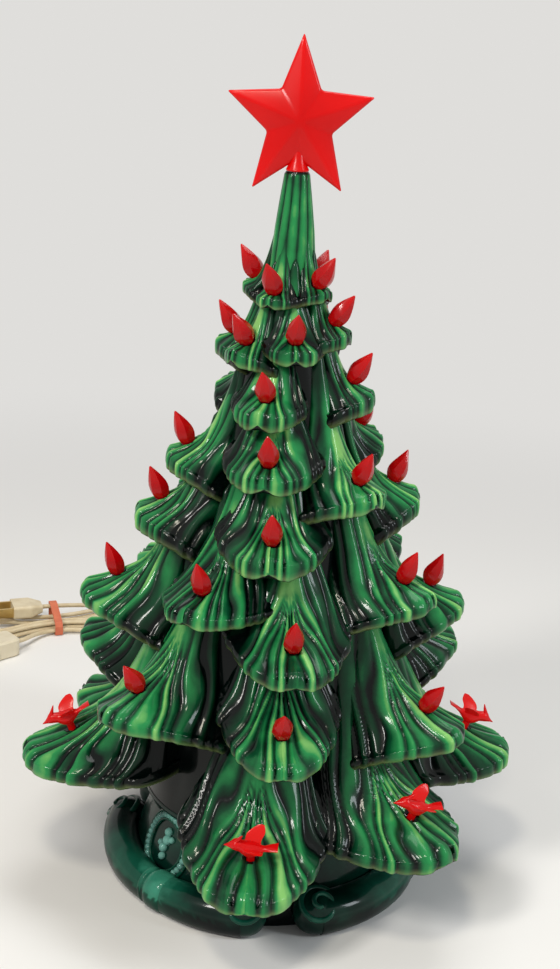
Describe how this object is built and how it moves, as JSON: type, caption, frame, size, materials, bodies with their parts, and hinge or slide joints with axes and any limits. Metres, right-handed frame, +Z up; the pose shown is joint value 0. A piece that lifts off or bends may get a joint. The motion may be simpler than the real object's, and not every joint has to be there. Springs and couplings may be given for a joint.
{
  "type": "lighted ceramic christmas tree",
  "caption": "Glazed ceramic Christmas tree of drooping fluted branches on a scroll base, lit from inside by a lamp, with pull-out plastic bulbs, birds and a star, and a corded switch and plug.",
  "frame": {"origin": "on the floor under the middle of the tree", "axes": "+Z up the trunk, -Y towards the front that the picture shows, +X to the viewer's right"},
  "size_m": [0.352, 0.4219, 0.4019],
  "materials": {
    "tree_glaze": "deep green glossy glaze, nearly black where it pools and pale on the ridges",
    "base_glaze": "dark green glossy glaze",
    "star_plastic": "clear red plastic",
    "bulb_plastic": "clear red plastic",
    "bird_plastic": "clear red plastic",
    "socket_plastic": "moulded white",
    "sleeve_brass": "plain",
    "cap_brass": "plain",
    "lamp_glass": "clear",
    "cord_vinyl": "cream vinyl",
    "tie_rubber": "orange-red rubber band",
    "plug_vinyl": "cream vinyl",
    "blade_brass": "plain",
    "switch_plastic": "cream",
    "wheel_plastic": "cream"
  },
  "bodies": {
    "base": {"base": "base_glaze", "socket_body": "socket_plastic", "socket_sleeve": "sleeve_brass", "cord_lead": "cord_vinyl", "cord_link": "cord_vinyl", "cord_hank": "cord_vinyl", "tie_band": "tie_rubber", "plug_body": "plug_vinyl", "plug_blades": "blade_brass", "switch_bottom": "switch_plastic", "switch_top": "switch_plastic"},
    "tree": {"tree_shell": "tree_glaze"},
    "star": {"star": "star_plastic"},
    "lamp": {"lamp_cap": "cap_brass", "lamp_glass": "lamp_glass"},
    "wheel": {"switch_wheel": "wheel_plastic"},
    "bulb_1_1": {"bulb_1_1": "bulb_plastic"},
    "bulb_1_2": {"bulb_1_2": "bulb_plastic"},
    "bulb_1_3": {"bulb_1_3": "bulb_plastic"},
    "bulb_1_4": {"bulb_1_4": "bulb_plastic"},
    "bulb_2_1": {"bulb_2_1": "bulb_plastic"},
    "bulb_2_2": {"bulb_2_2": "bulb_plastic"},
    "bulb_2_3": {"bulb_2_3": "bulb_plastic"},
    "bulb_2_4": {"bulb_2_4": "bulb_plastic"},
    "bulb_2_5": {"bulb_2_5": "bulb_plastic"},
    "bulb_3_1": {"bulb_3_1": "bulb_plastic"},
    "bulb_3_2": {"bulb_3_2": "bulb_plastic"},
    "bulb_3_3": {"bulb_3_3": "bulb_plastic"},
    "bulb_3_4": {"bulb_3_4": "bulb_plastic"},
    "bulb_4_1": {"bulb_4_1": "bulb_plastic"},
    "bulb_4_2": {"bulb_4_2": "bulb_plastic"},
    "bulb_4_3": {"bulb_4_3": "bulb_plastic"},
    "bulb_4_4": {"bulb_4_4": "bulb_plastic"},
    "bulb_4_5": {"bulb_4_5": "bulb_plastic"},
    "bulb_5_1": {"bulb_5_1": "bulb_plastic"},
    "bulb_5_2": {"bulb_5_2": "bulb_plastic"},
    "bulb_5_3": {"bulb_5_3": "bulb_plastic"},
    "bulb_5_4": {"bulb_5_4": "bulb_plastic"},
    "bulb_5_5": {"bulb_5_5": "bulb_plastic"},
    "bulb_6_1": {"bulb_6_1": "bulb_plastic"},
    "bulb_6_2": {"bulb_6_2": "bulb_plastic"},
    "bulb_6_3": {"bulb_6_3": "bulb_plastic"},
    "bulb_6_4": {"bulb_6_4": "bulb_plastic"},
    "bulb_7_1": {"bulb_7_1": "bulb_plastic"},
    "bulb_7_2": {"bulb_7_2": "bulb_plastic"},
    "bulb_7_3": {"bulb_7_3": "bulb_plastic"},
    "bulb_7_4": {"bulb_7_4": "bulb_plastic"},
    "bulb_8_1": {"bulb_8_1": "bulb_plastic"},
    "bulb_8_2": {"bulb_8_2": "bulb_plastic"},
    "bulb_8_3": {"bulb_8_3": "bulb_plastic"},
    "bulb_8_4": {"bulb_8_4": "bulb_plastic"},
    "bulb_8_5": {"bulb_8_5": "bulb_plastic"},
    "bird_1": {"bird_1": "bird_plastic"},
    "bird_2": {"bird_2": "bird_plastic"},
    "bird_3": {"bird_3": "bird_plastic"},
    "bird_4": {"bird_4": "bird_plastic"},
    "bird_5": {"bird_5": "bird_plastic"},
    "bird_6": {"bird_6": "bird_plastic"},
    "bird_7": {"bird_7": "bird_plastic"},
    "bird_8": {"bird_8": "bird_plastic"}
  },
  "joints": [
    {"name": "tree_lift", "type": "slide", "parent": "base", "child": "tree", "axis": [0, 0, 1], "range_m": [0, 0.09]},
    {"name": "star_lift", "type": "slide", "parent": "tree", "child": "star", "axis": [0, 0, 1], "range_m": [0, 0.018]},
    {"name": "lamp_unscrew", "type": "slide", "parent": "base", "child": "lamp", "axis": [0, 0, 1], "range_m": [0, 0.022]},
    {"name": "wheel_turn", "type": "hinge", "parent": "base", "child": "wheel", "pos_m": [-0.18318, 0.20785, 0.006], "axis": [0, 0, 1], "continuous": true},
    {"name": "bulb_1_1_pull", "type": "slide", "parent": "tree", "child": "bulb_1_1", "axis": [-0.5185, 0.2095, 0.829], "range_m": [0, 0.0095]},
    {"name": "bulb_1_2_pull", "type": "slide", "parent": "tree", "child": "bulb_1_2", "axis": [-0.2539, -0.4982, 0.829], "range_m": [0, 0.0095]},
    {"name": "bulb_1_3_pull", "type": "slide", "parent": "tree", "child": "bulb_1_3", "axis": [0.4284, -0.3594, 0.829], "range_m": [0, 0.0095]},
    {"name": "bulb_1_4_pull", "type": "slide", "parent": "tree", "child": "bulb_1_4", "axis": [0.3594, 0.4284, 0.829], "range_m": [0, 0.0095]},
    {"name": "bulb_2_1_pull", "type": "slide", "parent": "tree", "child": "bulb_2_1", "axis": [-0.5401, 0.1447, 0.829], "range_m": [0, 0.0095]},
    {"name": "bulb_2_2_pull", "type": "slide", "parent": "tree", "child": "bulb_2_2", "axis": [-0.4284, -0.3594, 0.829], "range_m": [0, 0.0095]},
    {"name": "bulb_2_3_pull", "type": "slide", "parent": "tree", "child": "bulb_2_3", "axis": [0.0681, -0.555, 0.829], "range_m": [0, 0.0095]},
    {"name": "bulb_2_4_pull", "type": "slide", "parent": "tree", "child": "bulb_2_4", "axis": [0.5255, -0.1913, 0.829], "range_m": [0, 0.0095]},
    {"name": "bulb_2_5_pull", "type": "slide", "parent": "tree", "child": "bulb_2_5", "axis": [0.2796, 0.4843, 0.829], "range_m": [0, 0.0095]},
    {"name": "bulb_3_1_pull", "type": "slide", "parent": "tree", "child": "bulb_3_1", "axis": [-0.1461, -0.5094, 0.848], "range_m": [0, 0.0095]},
    {"name": "bulb_3_2_pull", "type": "slide", "parent": "tree", "child": "bulb_3_2", "axis": [0.5248, -0.0738, 0.848], "range_m": [0, 0.0095]},
    {"name": "bulb_3_3_pull", "type": "slide", "parent": "tree", "child": "bulb_3_3", "axis": [0.1372, 0.5119, 0.848], "range_m": [0, 0.0095]},
    {"name": "bulb_3_4_pull", "type": "slide", "parent": "tree", "child": "bulb_3_4", "axis": [-0.3546, 0.3938, 0.848], "range_m": [0, 0.0095]},
    {"name": "bulb_4_1_pull", "type": "slide", "parent": "tree", "child": "bulb_4_1", "axis": [0.3718, 0.2323, 0.8988], "range_m": [0, 0.0095]},
    {"name": "bulb_4_2_pull", "type": "slide", "parent": "tree", "child": "bulb_4_2", "axis": [-0.4381, -0.0153, 0.8988], "range_m": [0, 0.0095]},
    {"name": "bulb_4_3_pull", "type": "slide", "parent": "tree", "child": "bulb_4_3", "axis": [-0.061, -0.4341, 0.8988], "range_m": [0, 0.0095]},
    {"name": "bulb_4_4_pull", "type": "slide", "parent": "tree", "child": "bulb_4_4", "axis": [0.3258, -0.2933, 0.8988], "range_m": [0, 0.0095]},
    {"name": "bulb_4_5_pull", "type": "slide", "parent": "tree", "child": "bulb_4_5", "axis": [-0.1853, 0.3973, 0.8988], "range_m": [0, 0.0095]},
    {"name": "bulb_5_1_pull", "type": "slide", "parent": "tree", "child": "bulb_5_1", "axis": [0.3929, 0.1053, 0.9135], "range_m": [0, 0.0095]},
    {"name": "bulb_5_2_pull", "type": "slide", "parent": "tree", "child": "bulb_5_2", "axis": [-0.4052, -0.0354, 0.9135], "range_m": [0, 0.0095]},
    {"name": "bulb_5_3_pull", "type": "slide", "parent": "tree", "child": "bulb_5_3", "axis": [-0.0213, -0.4062, 0.9135], "range_m": [0, 0.0095]},
    {"name": "bulb_5_4_pull", "type": "slide", "parent": "tree", "child": "bulb_5_4", "axis": [0.0706, 0.4006, 0.9135], "range_m": [0, 0.0095]},
    {"name": "bulb_5_5_pull", "type": "slide", "parent": "tree", "child": "bulb_5_5", "axis": [-0.2614, 0.3116, 0.9135], "range_m": [0, 0.0095]},
    {"name": "bulb_6_1_pull", "type": "slide", "parent": "tree", "child": "bulb_6_1", "axis": [-0.1873, -0.3244, 0.9272], "range_m": [0, 0.0095]},
    {"name": "bulb_6_2_pull", "type": "slide", "parent": "tree", "child": "bulb_6_2", "axis": [0.3338, -0.1701, 0.9272], "range_m": [0, 0.0095]},
    {"name": "bulb_6_3_pull", "type": "slide", "parent": "tree", "child": "bulb_6_3", "axis": [0.2695, 0.2602, 0.9272], "range_m": [0, 0.0095]},
    {"name": "bulb_6_4_pull", "type": "slide", "parent": "tree", "child": "bulb_6_4", "axis": [-0.2952, 0.2306, 0.9272], "range_m": [0, 0.0095]},
    {"name": "bulb_7_1_pull", "type": "slide", "parent": "tree", "child": "bulb_7_1", "axis": [-0.3745, -0.0065, 0.9272], "range_m": [0, 0.0095]},
    {"name": "bulb_7_2_pull", "type": "slide", "parent": "tree", "child": "bulb_7_2", "axis": [0.0457, -0.3718, 0.9272], "range_m": [0, 0.0095]},
    {"name": "bulb_7_3_pull", "type": "slide", "parent": "tree", "child": "bulb_7_3", "axis": [0.3689, 0.0651, 0.9272], "range_m": [0, 0.0095]},
    {"name": "bulb_7_4_pull", "type": "slide", "parent": "tree", "child": "bulb_7_4", "axis": [0.0131, 0.3744, 0.9272], "range_m": [0, 0.0095]},
    {"name": "bulb_8_1_pull", "type": "slide", "parent": "tree", "child": "bulb_8_1", "axis": [-0.409, -0.3814, 0.829], "range_m": [0, 0.0095]},
    {"name": "bulb_8_2_pull", "type": "slide", "parent": "tree", "child": "bulb_8_2", "axis": [0.039, -0.5578, 0.829], "range_m": [0, 0.0095]},
    {"name": "bulb_8_3_pull", "type": "slide", "parent": "tree", "child": "bulb_8_3", "axis": [0.4742, -0.2963, 0.829], "range_m": [0, 0.0095]},
    {"name": "bulb_8_4_pull", "type": "slide", "parent": "tree", "child": "bulb_8_4", "axis": [0.4937, 0.2625, 0.829], "range_m": [0, 0.0095]},
    {"name": "bulb_8_5_pull", "type": "slide", "parent": "tree", "child": "bulb_8_5", "axis": [-0.0195, 0.5589, 0.829], "range_m": [0, 0.0095]},
    {"name": "bird_1_pull", "type": "slide", "parent": "tree", "child": "bird_1", "axis": [-0.5068, 0.2363, 0.829], "range_m": [0, 0.0095]},
    {"name": "bird_2_pull", "type": "slide", "parent": "tree", "child": "bird_2", "axis": [-0.3618, -0.097, 0.9272], "range_m": [0, 0.0095]},
    {"name": "bird_3_pull", "type": "slide", "parent": "tree", "child": "bird_3", "axis": [-0.0196, -0.3741, 0.9272], "range_m": [0, 0.0095]},
    {"name": "bird_4_pull", "type": "slide", "parent": "tree", "child": "bird_4", "axis": [0.2602, -0.2695, 0.9272], "range_m": [0, 0.0095]},
    {"name": "bird_5_pull", "type": "slide", "parent": "tree", "child": "bird_5", "axis": [0.3745, 0.0065, 0.9272], "range_m": [0, 0.0095]},
    {"name": "bird_6_pull", "type": "slide", "parent": "tree", "child": "bird_6", "axis": [0.2408, 0.287, 0.9272], "range_m": [0, 0.0095]},
    {"name": "bird_7_pull", "type": "slide", "parent": "tree", "child": "bird_7", "axis": [-0.0651, 0.3689, 0.9272], "range_m": [0, 0.0095]},
    {"name": "bird_8_pull", "type": "slide", "parent": "tree", "child": "bird_8", "axis": [-0.3069, 0.2149, 0.9272], "range_m": [0, 0.0095]}
  ]
}
